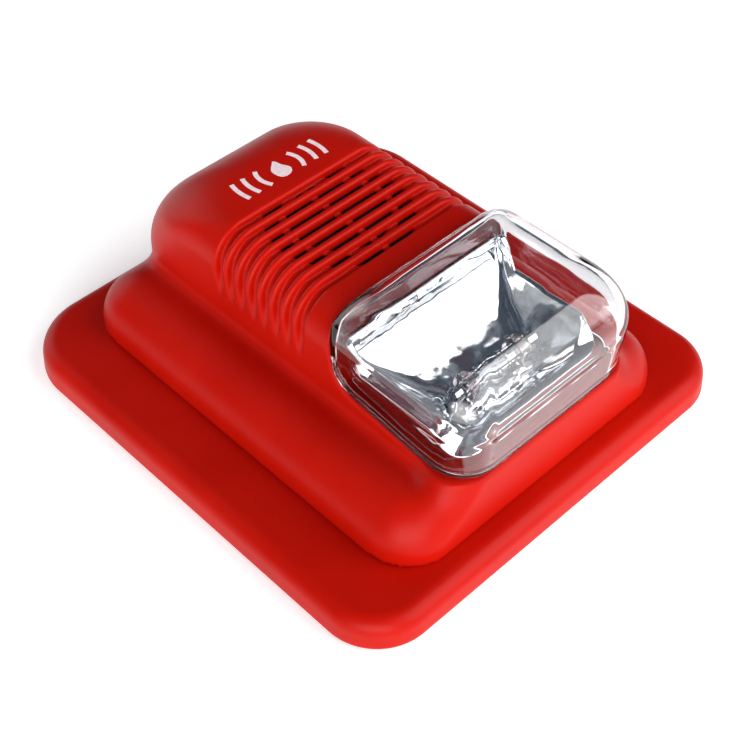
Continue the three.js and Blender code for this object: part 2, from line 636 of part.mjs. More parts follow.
function rectifier() {
  const reach = bridge.halfY + bridge.legReach;
  const legs = eachSide((side) => box(side * bridge.legX - bridge.legHalf, side * bridge.legX + bridge.legHalf,
    -reach, reach, 0, bridge.leg));
  return box(-bridge.halfX, bridge.halfX, -bridge.halfY, bridge.halfY, bridge.low, bridge.top).add(union(legs));
}

const tone = {
  x: 17, y: 24, halfX: 6, halfY: 4.8, height: 5.2, pitch: 2.54, travel: 2, slotHalfX: 0.85, slotHalfY: 2.4,
  slotDepth: 1.8, sliderHalfX: 0.55, footHalfY: 1.1, footDepth: 1.4, pegHalfY: 0.6, pegDepth: 2.4,
};
const toneWays = Array.from({ length: 4 }, (_, i) => (i - 1.5) * tone.pitch);
const boardUnder = board.bottom - gap;

// A four-way slide switch under the board, its sliders facing the wall.
function toneSwitch() {
  const low = boardUnder - tone.height;
  const body = box(-tone.halfX, tone.halfX, -tone.halfY, tone.halfY, low, boardUnder);
  const slots = toneWays.map((x) => box(x - tone.slotHalfX, x + tone.slotHalfX,
    -tone.slotHalfY, tone.slotHalfY, low - 1, low + tone.slotDepth));
  return body.subtract(union(slots));
}

function toneSlider() {
  const { sliderHalfX: halfX, footHalfY, footDepth, pegHalfY, pegDepth } = tone;
  const foot = box(-halfX, halfX, -footHalfY, footHalfY, -footDepth, 0);
  return foot.add(box(-halfX, halfX, -pegHalfY, pegHalfY, -pegDepth, 0.1 - footDepth));
}

const trimmer = {
  x: -17, y: 24, half: 4.8, height: 5, rotorRadius: 2.7, bore: 2.2, proud: 0.5, rotorHeight: 1.9,
  slotReach: 2.2, slotHalf: 0.4, slotDepth: 0.5,
};

function volumeTrimmer() {
  const low = boardUnder - trimmer.height;
  return box(-trimmer.half, trimmer.half, -trimmer.half, trimmer.half, low, boardUnder)
    .subtract(disc(trimmer.rotorRadius + gap, low - 1, low + trimmer.bore, 24));
}

function volumeRotor() {
  const low = boardUnder - trimmer.height;
  const { slotReach, slotHalf, slotDepth } = trimmer;
  return disc(trimmer.rotorRadius, low - trimmer.proud, low + trimmer.rotorHeight, 24)
    .subtract(box(-slotReach, slotReach, -slotHalf, slotHalf, low - 2, low + slotDepth));
}

add('base_plate', basePlate(), redAbs);
add('cable_grommet', cableGrommet(), rubber);
add('terminal_block', terminalBlock(), terminalGreen);
ways.forEach((way) => {
  const label = way + 1;
  add('terminal_screw_' + label, terminalScrew(), steel,
    wayX(way), terminal.screwY, terminal.top - clampScrew.drop);
  add('wire_clamp_' + label, wireClamp(), brass, wayX(way), terminal.screwY, clamp.base);
  add('contact_spring_' + label, contactSpring(), brass, wayX(way), terminal.springY);
});

add('front_housing', frontHousing(), redAbs);
add('strobe_lens', strobeLens(), clearPc);
add('lens_gasket', lensGasket(), silicone);
add('reflector', reflector(), chrome);
add('xenon_tube', xenonTube(), clearPc, 0, tube.y, tube.z);
add('electrode_left', electrode(-1), steel);
add('electrode_right', electrode(1), steel);
add('tube_holder_left', tubeHolder(), silicone, -tube.holderX, tube.y, tube.z);
add('tube_holder_right', tubeHolder(), silicone, tube.holderX, tube.y, tube.z);
add('trigger_wire', triggerWire(), steel, 0, tube.y, tube.z);

add('sounder_cup', sounderCup(), blackAbs, 0, sounder.y);
add('piezo_ring', piezoRing(), rubber, 0, sounder.y);
const { plateLow, discHeight, meshLow } = sounder;
const ceramicLow = plateLow + discHeight + gap;
add('piezo_plate', disc(sounder.discRadius, plateLow, plateLow + discHeight), brass, 0, sounder.y);
add('piezo_ceramic', disc(sounder.ceramicRadius, ceramicLow, ceramicLow + discHeight), ceramic, 0, sounder.y);
add('sounder_mesh', disc(sounder.ringInner - gap, meshLow, meshLow + sounder.meshHeight), blackAbs,
  0, sounder.y);

add('circuit_board', circuitBoard(), boardGreen);
corners(boss.x, boss.front, boss.rear, (x, y) => [x, y]).forEach(([x, y], i) => {
  add('board_screw_' + (i + 1), boardScrewBody(), steel, x, y);
});
const onBoard = boardTop + gap;
const flashCan = { radius: 6.5, length: 26, x: 0, y: -4 };
const filterCan = { radius: 4, length: 12, x: -14, y: 9 };
for (const [name, can] of [['flash_capacitor', flashCan], ['filter_capacitor', filterCan]]) {
  add(name, capacitor(can.radius, can.length), sleeve, can.x, can.y, onBoard + can.radius);
}
add('inverter_transformer', transformer(), ferrite, 12, 32, onBoard);
add('trigger_coil', triggerCoil(), winding, 0, -31, onBoard + coil.woundRadius);
add('controller_chip', chip(), blackAbs, 12, 12, onBoard);
add('power_transistor', powerTransistor(), blackAbs, -12, 34, onBoard);
add('bridge_rectifier', rectifier(), blackAbs, -22, -26, onBoard);
add('tone_switch', toneSwitch(), switchRed, tone.x, tone.y);
toneWays.forEach((x, i) => {
  add('tone_slider_' + (i + 1), toneSlider(), nylon,
    tone.x + x, tone.y - tone.travel / 2, boardUnder - tone.height + 1.5);
});
add('volume_trimmer', volumeTrimmer(), trimmerBlue, trimmer.x, trimmer.y);
add('volume_rotor', volumeRotor(), nylon, trimmer.x, trimmer.y);

export default horn;
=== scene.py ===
import json
import math
import bpy
import numpy as np
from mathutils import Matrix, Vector


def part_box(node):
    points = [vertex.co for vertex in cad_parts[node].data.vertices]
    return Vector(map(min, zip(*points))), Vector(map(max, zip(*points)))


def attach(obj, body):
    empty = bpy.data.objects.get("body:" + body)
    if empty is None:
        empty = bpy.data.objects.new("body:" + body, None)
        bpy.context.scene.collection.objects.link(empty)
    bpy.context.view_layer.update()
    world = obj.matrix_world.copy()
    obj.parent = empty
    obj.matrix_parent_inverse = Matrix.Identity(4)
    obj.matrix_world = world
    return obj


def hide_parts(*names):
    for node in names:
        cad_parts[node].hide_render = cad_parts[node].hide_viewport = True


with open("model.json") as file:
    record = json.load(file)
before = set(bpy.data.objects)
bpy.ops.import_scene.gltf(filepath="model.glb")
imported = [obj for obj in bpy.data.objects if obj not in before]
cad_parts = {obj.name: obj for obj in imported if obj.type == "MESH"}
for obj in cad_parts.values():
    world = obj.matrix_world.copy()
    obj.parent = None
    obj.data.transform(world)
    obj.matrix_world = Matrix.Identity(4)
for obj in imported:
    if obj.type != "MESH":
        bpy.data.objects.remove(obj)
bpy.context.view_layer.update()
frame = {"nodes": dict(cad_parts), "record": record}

# Shapes below are worked out in millimetres and go into their meshes in metres.
millimetre = 0.001


def boxOf(node):
    # Lowest and highest corner of a node, in millimetres.
    return [np.array(corner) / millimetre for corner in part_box(node)]


plateLow, plateHigh = boxOf("base_plate")
housingLow, housingHigh = boxOf("front_housing")
tubeLow, tubeHigh = boxOf("xenon_tube")
lensTop = boxOf("strobe_lens")[1][2]
bowlFloor = boxOf("reflector")[0][2]
lampY, lampZ = (tubeLow[1:] + tubeHigh[1:]) / 2


camera = {
    "azimuth": -44.21, "elevation": 46.88,      # degrees round the object and above the floor
    "distance": 363.3, "target": (-7.12, -9.96, 10), "lens": 70.4, "sensor": 36,
}


def addCamera(settings):
    # Looks at the target from its azimuth and elevation, upright.
    turn, rise = math.radians(settings["azimuth"]), math.radians(settings["elevation"])
    level = math.cos(rise)
    back = Vector((math.sin(turn) * level, -math.cos(turn) * level, math.sin(rise)))
    data = bpy.data.cameras.new("studioCamera")
    data.lens = settings["lens"]
    data.sensor_width = settings["sensor"]
    data.clip_start = 0.01
    item = bpy.data.objects.new("studioCamera", data)
    item.location = (Vector(settings["target"]) + back * settings["distance"]) * millimetre
    item.rotation_mode = "QUATERNION"
    item.rotation_quaternion = (-back).to_track_quat("-Z", "Y")
    bpy.context.scene.collection.objects.link(item)
    bpy.context.scene.camera = item


addCamera(camera)
print("camera placed")


def linear(code):
    # An sRGB hex colour as linear red, green, blue and full opacity.
    parts = [int(code[i:i + 2], 16) / 255 for i in (1, 3, 5)]
    return [p / 12.92 if p < 0.04045 else ((p + 0.055) / 1.055) ** 2.4 for p in parts] + [1]


def feed(tree, node, inputs):
    # Each input is a socket's name or number, with the fixed value or the other node's output that it takes.
    for socket, value in inputs.items():
        if isinstance(value, bpy.types.NodeSocket):
            tree.links.new(value, node.inputs[socket])
        else:
            node.inputs[socket].default_value = value
    return node


def addNode(tree, kind, inputs, **settings):
    # One node with its own settings, and with its sockets fed.
    node = tree.nodes.new("ShaderNode" + kind)
    for name, value in settings.items():
        setattr(node, name, value)
    return feed(tree, node, inputs)


def newMaterial(name):
    # A new material, its node tree, and the Object coordinates that its patterns read.
    material = bpy.data.materials.new(name)
    material.use_nodes = True
    tree = material.node_tree
    return material, tree, addNode(tree, "TexCoord", {}).outputs["Object"]


def scaleFor(size):
    # The scale of a pattern whose lumps or cells are this many millimetres across.
    return 1 / (size * millimetre)


noiseSpan = (0.3, 0.7)                          # nearly all of a noise's values lie between these


def dress(tree, fixed, tone=None, gloss=None, relief=()):
    # Finishes a surface. Fixed values go straight to the shader. Tone and gloss each say which pattern they
    # follow, between which of its values, and from what to what; relief lists patterns with heights in mm.
    shader = feed(tree, tree.nodes["Principled BSDF"], fixed)
    if tone:
        pattern, (start, end), first, second = tone
        share = addNode(tree, "MapRange", {"Value": pattern, "From Min": start, "From Max": end})
        # a colour mix has its factor at 0, its colours at 6 and 7, and its result at 2
        blend = addNode(tree, "Mix", {0: share.outputs[0], 6: linear(first), 7: linear(second)},
                        data_type="RGBA")
        feed(tree, shader, {"Base Color": blend.outputs[2]})
    if gloss:
        pattern, (start, end), low, high = gloss
        rough = addNode(tree, "MapRange", {"Value": pattern, "From Min": start, "From Max": end,
                                           "To Min": low, "To Max": high})
        feed(tree, shader, {"Roughness": rough.outputs[0]})
    target = shader
    for pattern, height in reversed(relief):    # each layer's bump rests on the one before it
        layer = addNode(tree, "Bump", {"Height": pattern, "Distance": height * millimetre})
        feed(tree, target, {"Normal": layer.outputs[0]})
        target = layer


redAbs = {
    "low": "#B40E02", "high": "#BE1203", "rough": (0.34, 0.42), "cloud": 26, "grain": 0.35,
    "grainHeight": 0.012, "ior": 1.52, "specular": 0.12,
}


def mouldedRedAbs(s):
    # Injection-moulded ABS coloured through: satin, with a fine spark-eroded grain and faint flow clouds.
    material, tree, where = newMaterial("mouldedRedAbs")
    cloud = addNode(tree, "TexNoise", {"Vector": where, "Scale": scaleFor(s["cloud"]), "Detail": 2}).outputs[0]
    grain = addNode(tree, "TexNoise", {"Vector": where, "Scale": scaleFor(s["grain"]), "Detail": 2}).outputs[0]
    dress(tree, {"IOR": s["ior"], "Specular IOR Level": s["specular"]},
          (cloud, noiseSpan, s["low"], s["high"]), (cloud, noiseSpan, *s["rough"]),
          [(grain, s["grainHeight"])])
    return material


def clearMoulding(name, colour, rough, ior, wave, waveHeight):
    # A clear moulding: polished faces with the slight waviness of a cooled skin, so what lies behind swims.
    material, tree, where = newMaterial(name)
    waves = addNode(tree, "TexNoise", {"Vector": where, "Scale": scaleFor(wave), "Detail": 1}).outputs[0]
    dress(tree, {"Base Color": linear(colour), "Roughness": rough, "IOR": ior, "Transmission Weight": 1},
          relief=[(waves, waveHeight)])
    return material


chrome = {
    "bright": "#E9ECEF", "speck": "#B9BEC6", "speckSize": 0.9, "speckSpan": (0.68, 0.74),
    "cloud": 7, "rough": (0.03, 0.09), "swell": (9, 0.35), "ripple": (2.2, 0.015),
    "coat": 0.3, "coatRough": 0.03,
}


def vacuumChrome(s):
    # Aluminium flashed onto moulded plastic and lacquered: mirror bright, rippled by the moulding.
    material, tree, where = newMaterial("vacuumMetallisedPlastic")
    speck, cloud, swell, ripple = (
        addNode(tree, "TexNoise", {"Vector": where, "Scale": scaleFor(size), "Detail": 2}).outputs[0]
        for size in (s["speckSize"], s["cloud"], s["swell"][0], s["ripple"][0]))
    dress(tree, {"Metallic": 1, "Coat Weight": s["coat"], "Coat Roughness": s["coatRough"]},
          (speck, s["speckSpan"], s["bright"], s["speck"]), (cloud, noiseSpan, *s["rough"]),
          [(swell, s["swell"][1]), (ripple, s["ripple"][1])])
    return material


def metalPart(name, low, high, rough, grain=1.2, stretch=(1, 1, 1), height=0.01):
    # A plated or rolled metal part: brightness and gloss vary along fine tool or rolling marks.
    material, tree, where = newMaterial(name)
    drawn = addNode(tree, "Mapping", {"Vector": where, "Scale": stretch}).outputs[0]
    marks = addNode(tree, "TexNoise", {"Vector": drawn, "Scale": scaleFor(grain), "Detail": 4}).outputs[0]
    dress(tree, {"Metallic": 1}, (marks, noiseSpan, low, high),
          (marks, noiseSpan, rough * 0.75, rough * 1.3), [(marks, height)])
    return material


def mouldedPart(name, low, high, rough, cloud=6, grain=0.3, height=0.01, ior=1.5, under=0):
    # A moulded plastic or rubber part: colour clouds a little, and a fine grain breaks up the gloss.
    material, tree, where = newMaterial(name)
    cloudy = addNode(tree, "TexNoise", {"Vector": where, "Scale": scaleFor(cloud), "Detail": 3}).outputs[0]
    grainy = addNode(tree, "TexNoise", {"Vector": where, "Scale": scaleFor(grain), "Detail": 2}).outputs[0]
    dress(tree, {"IOR": ior, "Subsurface Weight": under}, (cloudy, noiseSpan, low, high),
          (cloudy, noiseSpan, rough * 0.85, rough * 1.15), [(grainy, height)])
    return material


board = {
    "mask": "#0E4A25", "track": "#1E6E3A", "cell": 5.5, "spacing": 0.12, "trackSpan": (0.045, 0.06),
    "trackHeight": 0.05, "weave": 0.8, "weaveHeight": 0.01, "rough": (0.28, 0.4),
    "ior": 1.55, "coat": 0.4, "coatRough": 0.15,
}


def solderMask(s):
    # Glass-epoxy board under green solder mask: copper tracks stand a hair proud and show lighter through it.
    material, tree, where = newMaterial("greenSolderMask")
    cells = addNode(tree, "TexVoronoi", {"Vector": where, "Scale": scaleFor(s["cell"])}, distance="MANHATTAN")
    stripes = addNode(tree, "Math", {0: cells.outputs["Distance"], 1: s["spacing"]}, operation="PINGPONG")
    low, high = s["trackSpan"]
    tracks = addNode(tree, "MapRange", {"Value": stripes.outputs[0], "From Min": low, "From Max": high})
    tracks = tracks.outputs[0]
    weave = addNode(tree, "TexNoise", {"Vector": where, "Scale": scaleFor(s["weave"]), "Detail": 2}).outputs[0]
    dress(tree, {"IOR": s["ior"], "Coat Weight": s["coat"], "Coat Roughness": s["coatRough"]},
          (tracks, (0, 1), s["mask"], s["track"]), (weave, noiseSpan, *s["rough"]),
          [(tracks, s["trackHeight"]), (weave, s["weaveHeight"])])
    return material


# The darker of the two wire colours is painted shade for the grooves between turns.
winding = {
    "gap": "#4A1E0C", "wire": "#B8602C", "pitch": 1.6, "wander": 0.4, "height": 0.08,
    "cloud": 0.7, "rough": (0.25, 0.4), "metal": 0.9, "coat": 0.5, "coatRough": 0.2,
}


def windingWire(s):
    # Enamelled copper wire wound in close turns: bright ridges, with painted shade darkening the grooves
    # between them.
    material, tree, where = newMaterial("enamelledCopperWire")
    turns = addNode(tree, "TexWave", {
        "Vector": where, "Scale": scaleFor(s["pitch"]), "Distortion": s["wander"],
    }, wave_type="BANDS", bands_direction="X").outputs[1]
    cloud = addNode(tree, "TexNoise", {"Vector": where, "Scale": scaleFor(s["cloud"]), "Detail": 2}).outputs[0]
    # the darker colour, laid where the bump sinks between turns, is painted shade
    dress(tree, {"Metallic": s["metal"], "Coat Weight": s["coat"], "Coat Roughness": s["coatRough"]},
          (turns, (0, 1), s["gap"], s["wire"]), (cloud, noiseSpan, *s["rough"]), [(turns, s["height"])])
    return material


printInk = {
    "low": "#F3D6DC", "high": "#FBEAEE", "cloud": 1.1, "grain": 0.4, "grainHeight": 0.01,
    "rough": (0.5, 0.6), "ior": 1.5,
}


def padPrint(s):
    # Silicone-pad printed ink: a matt pale pink-white film that thins a little over the grain.
    material, tree, where = newMaterial("padPrintInk")
    cloud = addNode(tree, "TexNoise", {"Vector": where, "Scale": scaleFor(s["cloud"]), "Detail": 3}).outputs[0]
    grain = addNode(tree, "TexNoise", {"Vector": where, "Scale": scaleFor(s["grain"]), "Detail": 2}).outputs[0]
    dress(tree, {"IOR": s["ior"]}, (cloud, noiseSpan, s["low"], s["high"]),
          (cloud, noiseSpan, *s["rough"]), [(grain, s["grainHeight"])])
    return material


materials = {
    "red_abs": mouldedRedAbs(redAbs),
    "clear_pc": clearMoulding("clearPolycarbonate", "#FBFBFC", 0.015, 1.5, 13, 0.12),
    "quartz_glass": clearMoulding("drawnQuartzGlass", "#F4F7FA", 0.02, 1.46, 4, 0.03),
    "silicone": clearMoulding("translucentSilicone", "#F6ECEC", 0.16, 1.41, 3, 0.08),
    "vacuum_chrome": vacuumChrome(chrome),
    "black_rubber": mouldedPart("mouldedNitrileRubber", "#151515", "#222222", 0.7, 5, 0.5, 0.03),
    "green_pbt": mouldedPart("mouldedGreenPbt", "#1C6B36", "#237A40", 0.42),
    "zinc_steel": metalPart("zincPlatedSteel", "#A9ACB2", "#D2D5D8", 0.24, 0.8),
    "brass": metalPart("cutBrass", "#B08A3E", "#D9B769", 0.27, 1, (1, 5, 1)),
    "phosphor_bronze": metalPart("rolledPhosphorBronze", "#A86F3C", "#CC935A", 0.25, 1, (6, 1, 1)),
    "black_abs": mouldedPart("mouldedBlackAbs", "#0E0E10", "#19191B", 0.45),
    "pzt_ceramic": mouldedPart("silveredPiezoCeramic", "#C9C6BC", "#E2DFD5", 0.5, 3, 0.2, 0.015),
    "fr4_board": solderMask(board),
    "capacitor_sleeve": mouldedPart("shrunkPvcSleeve", "#12161E", "#1D2430", 0.3, 4, 0.8, 0.02),
    "ferrite": mouldedPart("sinteredFerrite", "#1B1B1C", "#2B2B2D", 0.6, 2, 0.25, 0.03),
    "copper_winding": windingWire(winding),
    "epoxy_black": mouldedPart("mouldedEpoxyPackage", "#131314", "#1F1F21", 0.5, 2, 0.2, 0.02),
    "red_switch": mouldedPart("mouldedSwitchBody", "#8E1414", "#A91D1D", 0.4),
    "white_nylon": mouldedPart("mouldedNylon", "#E4E2DA", "#F1EFE8", 0.5, 4, 0.3, 0.01, 1.53, 0.1),
    "blue_trimmer": mouldedPart("mouldedTrimmerBody", "#1C3C86", "#264BA0", 0.4),
}
ink = padPrint(printInk)

for row in frame["record"]["subparts"]:
    node = frame["nodes"][row["node"]]
    node.data.materials.clear()
    node.data.materials.append(materials[row["material_slot"]])
print("materials made:", len(materials) + 1)


def meshOf(name, points, faces, smooth=True):
    # Points in millimetres and faces of four corners, as whole arrays, into a new object at the origin.
    data = bpy.data.meshes.new(name)
    data.vertices.add(len(points))
    data.vertices.foreach_set("co", (np.asarray(points) * millimetre).ravel())
    data.loops.add(faces.size)
    data.loops.foreach_set("vertex_index", faces.ravel())
    data.polygons.add(len(faces))
    data.polygons.foreach_set("loop_start", np.arange(len(faces)) * faces.shape[1])
    data.polygons.foreach_set("use_smooth", np.full(len(faces), smooth))
    data.update(calc_edges=True)
    data.validate()
    item = bpy.data.objects.new(name, data)
    bpy.context.scene.collection.objects.link(item)
    return item


def finishPiece(item, body, slotName, *nodes, look=None):
    # Gives a piece its material and its body, and names the nodes that it stands for.
    item.data.materials.append(look or materials[slotName])
    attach(item, body)
    if nodes:
        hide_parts(*nodes)
    print(item.name, "made with", len(item.data.polygons), "faces")
    return item


def gridFaces(rows, columns):
    # Quads between neighbouring rows of a grid whose rows run round in a ring.
    row, column = np.meshgrid(np.arange(rows - 1), np.arange(columns), indexing="ij")
    after = (column + 1) % columns
    corners = [row * columns + column, row * columns + after,
               (row + 1) * columns + after, (row + 1) * columns + column]
    return np.stack(corners, -1).reshape(-1, 4)


def spread(*stretches):
    # Grid lines along one axis: each stretch is (start, end, spacing in millimetres).
    lines = [np.linspace(a, b, max(2, round((b - a) / step)) + 1)[:-1] for a, b, step in stretches]
    return np.concatenate(lines + [[stretches[-1][1]]])


def levelSkin(name, field, axes, settle=2):
    # The skin where a field of distances is zero. The field is read on a grid of cells, and each cell that
    # the skin crosses gets one point, at the mean of its edges' crossings; the four cells round each crossed
    # edge are joined by a face. The points then slide down the field's slope until they lie on the skin.
    inside = field(*np.meshgrid(*axes, indexing="ij")) < 0
    cells = np.array([len(lines) - 1 for lines in axes])
    total, count, faces = np.zeros((cells.prod(), 3)), np.zeros(cells.prod()), []
    for axis in range(3):
        first = [slice(None)] * 3
        second = [slice(None)] * 3
        first[axis], second[axis] = slice(0, -1), slice(1, None)
        index = np.argwhere(inside[tuple(first)] != inside[tuple(second)])
        starts = inside[tuple(index.T)]
        near = np.stack([axes[k][index[:, k]] for k in range(3)], 1)
        far = near.copy()
        far[:, axis] = axes[axis][index[:, axis] + 1]
        for _ in range(9):                      # halves the crossed stretch each time
            middle = (near + far) / 2
            same = ((field(*middle.T) < 0) == starts)[:, None]
            near, far = np.where(same, middle, near), np.where(same, far, middle)
        crossing = (near + far) / 2
        across, up = (axis + 1) % 3, (axis + 2) % 3
        ring = []
        for stepAcross, stepUp in ((0, 0), (-1, 0), (-1, -1), (0, -1)):
            cell = index.copy()
            cell[:, across] += stepAcross
            cell[:, up] += stepUp
            flat = np.ravel_multi_index(cell.T, cells)
            ring.append(flat)
            count += np.bincount(flat, minlength=len(count))
            for k in range(3):
                total[:, k] += np.bincount(flat, crossing[:, k], len(count))
        ring = np.stack(ring, 1)
        faces.append(np.where(starts[:, None], ring, ring[:, ::-1]))
    used = count > 0
    number = np.cumsum(used) - 1
    points = total[used] / count[used][:, None]
    for _ in range(settle):
        slope = slopeOf(field, points)
        steepness = np.maximum((slope ** 2).sum(1), 0.2)[:, None]
        step = field(*points.T)[:, None] * slope / steepness
        points -= np.clip(step, -0.12, 0.12)    # no point moves further than this, in millimetres
    return meshOf(name, points, number[np.concatenate(faces)])


def slopeOf(field, points, reach=0.02):
    # How steeply the field changes along each axis.
    columns = []
    for axis in range(3):
        shift = np.zeros(3)
        shift[axis] = reach
        columns.append((field(*(points + shift).T) - field(*(points - shift).T)) / (2 * reach))
    return np.stack(columns, 1)


def joined(a, b, blend):
    # The nearer of two fields, with the corner between them filled over the blend's width.
    share = np.clip(0.5 + 0.5 * (b - a) / blend, 0, 1)
    return b + (a - b) * share - blend * share * (1 - share)


def cutTo(a, b, blend):
    # What lies in both fields, with the edge between them eased over the blend's width.
    return -joined(-a, -b, blend)


def eased(side, cap, radius):
    # What lies in both fields, with a true round of that radius along their edge.
    across, up = side + radius, cap + radius
    return np.hypot(np.maximum(across, 0), np.maximum(up, 0)) + np.minimum(np.maximum(across, up), 0) - radius


def outline(x, y, half, front, rear, frontCorner, rearCorner):
    # Distance from a rounded rectangle seen from the front.
    middle = (front + rear) / 2
    corner = np.where(y < middle, frontCorner, rearCorner)
    across = np.abs(x) - (half - corner)
    along = np.abs(y - middle) - ((rear - front) / 2 - corner)
    outside = np.hypot(np.maximum(across, 0), np.maximum(along, 0))
    return outside + np.minimum(np.maximum(across, along), 0) - corner


def pullIn(radius, top, z):
    # How far a quarter round of that radius, ending at height top, has pulled in at height z.
    rise = np.clip(z - (top - radius), 0, radius)
    return radius - np.sqrt(radius ** 2 - rise ** 2)


def leaning(radius, top, z):
    # Cosine of the lean of that quarter round, which turns a level distance into a true one.
    return np.sqrt(1 - np.clip((z - (top - radius)) / radius, 0, 0.97) ** 2)


def smoothStep(start, end, value):
    # From 0 at the start to 1 at the end, level at both: three times the square less twice the cube.
    share = np.clip((value - start) / (end - start), 0, 1)
    return share * share * (3 - 2 * share)


def pillar(x, y, atX, atY, radius):
    # Distance from the side of an upright round pillar.
    return np.hypot(x - atX, y - atY) - radius


plate = {
    "height": 8.5, "edge": 3.8, "footEdge": 1.3, "draft": 0.7, "lowCorner": 15, "highCorner": 18.5,
    "floor": 2.5, "wellEdge": 0.6, "well": (42, -55, 53, 10),   # half width, front, rear, corner radius
    "postX": 38.5, "postFront": -46, "postRear": 45, "postRadius": 1.7, "postTop": plateHigh[2],
    "postRound": 0.6, "postFoot": 1, "postFillet": 0.8,
    "screwX": 30, "screwRadius": 1.95, "cableY": 10, "cableRadius": 8,
    "pocketPitch": (22.5, 19), "pocketRib": 2, "pocketColumns": (48.75, 56.25), "pocketRows": (-60.5, 60),
    "pocketHalf": (2.75, 3), "pocketDepth": 6,
}


def plateField(x, y, z):
    # A rounded slab with a sunk well, a row of ribbed pockets round its rear edge, four posts and its holes.
    p = plate
    side = outline(x, y, plateHigh[0], plateLow[1], plateHigh[1], p["lowCorner"], p["highCorner"])
    body = eased(side + p["draft"] * z / p["height"], z - p["height"], p["edge"])
    body = cutTo(body, -z, p["footEdge"])
    half, front, rear, corner = p["well"]
    well = np.maximum(outline(x, y, half, front, rear, corner, corner), p["floor"] - z)
    body = cutTo(body, -well, p["wellEdge"])
    alongPitch, acrossPitch = p["pocketPitch"]
    rib = p["pocketRib"] / 2
    column = np.minimum(*(np.abs(np.abs(x) - c) for c in p["pocketColumns"])) - p["pocketHalf"][0]
    row = np.minimum(*(np.abs(y - r) for r in p["pocketRows"])) - p["pocketHalf"][1]
    along = np.abs(np.mod(y, alongPitch) - alongPitch / 2) - alongPitch / 2 + rib
    across = np.abs(np.mod(x, acrossPitch) - acrossPitch / 2) - acrossPitch / 2 + rib
    side = np.maximum(np.maximum(column, along), np.abs(y) - 2 * alongPitch)
    end = np.maximum(np.maximum(row, across), np.abs(x) - 2 * acrossPitch)
    body = np.maximum(body, -np.maximum(np.minimum(side, end), z - p["pocketDepth"]))
    posts = np.minimum(*(pillar(np.abs(x), y, p["postX"], r, p["postRadius"])
                         for r in (p["postFront"], p["postRear"])))
    posts = np.maximum(eased(posts, z - p["postTop"], p["postRound"]), p["postFoot"] - z)
    body = joined(body, posts, p["postFillet"])
    holes = np.minimum(pillar(np.abs(x), y, p["screwX"], 0, p["screwRadius"]),
                       pillar(x, y, 0, p["cableY"], p["cableRadius"]))
    return np.maximum(body, -holes)


# Grids run along X, Y and Z, and are finer where the skin bends most.
plateGrid = (
    spread((-63.4, 63.4, 0.8)),
    spread((-68, 68, 0.8)),
    spread((-0.6, 1.4, 0.33), (1.4, 9.3, 0.62), (9.3, 14.2, 0.8)),
)
basePlate = levelSkin("basePlateMoulding", plateField, plateGrid)
finishPiece(basePlate, "wall_base", "red_abs", "base_plate")


tier = {
    "half": housingHigh[0], "front": -60, "rear": housingHigh[1], "foot": housingLow[2], "top": 22.5,
    "corner": 12.8, "shoulder": 12, "wall": 2.5, "edge": 0.3,
}
hump = {
    "half": 28.5, "front": -59.6, "rear": 57, "top": housingHigh[2], "shoulder": 9.5, "endRadius": 22,
    "frontCorner": 9.5, "rearCorner": 12, "topCorner": 16, "wall": 4,
    "fillet": 3, "filletSwell": 10, "swellFrom": (-43, -57),
}
grille = {
    "pitch": 4.06, "grooves": 8, "firstY": 21.45, "halfWidth": 1.1, "endHalfWidth": 0.3, "depth": 1.8,
    "fadeLow": 29.5, "fadeHigh": 38, "ribRound": 0.95, "centreY": 9.6, "openRadius": 18.3,
    "webInner": 12.6, "webOuter": 14.4, "spokeHalf": 0.9, "slotHalf": 0.95, "slotLow": 41.5,
    "thinnedTo": 45.1, "valleyFillet": 0.5, "slotEdge": 0.25, "bandY": 7, "bandHalf": 20,
}
seam = {
    "rearTopY": -15.3, "rearLowY": -17.4, "slantTop": 46.5, "cornerZ": 36.8, "corner": 8.2,
    "deckHigh": 28.6, "deckLow": 26, "deckClimb": (-48, -23.6), "edge": 0.45,
}
rooms = {                                       # outlines: half width, front, rear and two corner radii
    "lampRoom": (26, -56.5, -12, 7, 2), "lampRoomTop": 23.5, "lampPocket": (25.8, -57, -20.5, 7, 2),
    "hornGap": 2.5, "edge": 0.4, "leadX": boxOf("electrode_right")[0][0] + 1.3, "leadRadius": 1.3,
    "leadTop": 30,
}
fittings = {
    "bossX": 29.5, "bossFront": -44, "bossRear": 42, "bossRadius": 3, "bossLow": 17.4, "pilot": 1.5,
    "pilotTop": 20.9, "collarRadius": 3.3, "collarLow": 9.2, "ringOuter": 19.6, "ringInner": 18.6,
    "ringLow": 41, "ringGap": 1.5, "insideGap": 1, "fillet": 0.5, "socketGap": 0.3, "socketEnd": 0.6,
}


def tierField(x, y, z, inset=0):
    # The lower step: a rounded rectangle whose upright walls turn in over a quarter round.
    side = outline(x, y, tier["half"], tier["front"], tier["rear"], tier["corner"], tier["corner"])
    return eased(side + inset, z - tier["top"] + inset, tier["shoulder"] - inset)


def humpField(x, y, z, inset=0, front=hump["front"]):
    # The sounder's hump: at each height a rounded rectangle, drawn in by a quarter round at the sides and by
    # a larger one at the rear end.
    top, endRadius = hump["top"] - inset, hump["endRadius"] - inset
    level = np.minimum(z, top)
    rise = np.clip((level - (top - endRadius)) / endRadius, 0, 1)
    growth = (hump["topCorner"] - hump["rearCorner"]) * smoothStep(0, 1, rise)
    rearCorner = hump["rearCorner"] + growth - inset
    side = outline(
        x, y, hump["half"] - inset - pullIn(hump["shoulder"] - inset, top, level), front,
        hump["rear"] - inset - pullIn(endRadius, top, level), hump["frontCorner"] - inset, rearCorner)
    return np.maximum(side * leaning(hump["shoulder"] - inset, top, level), z - top)


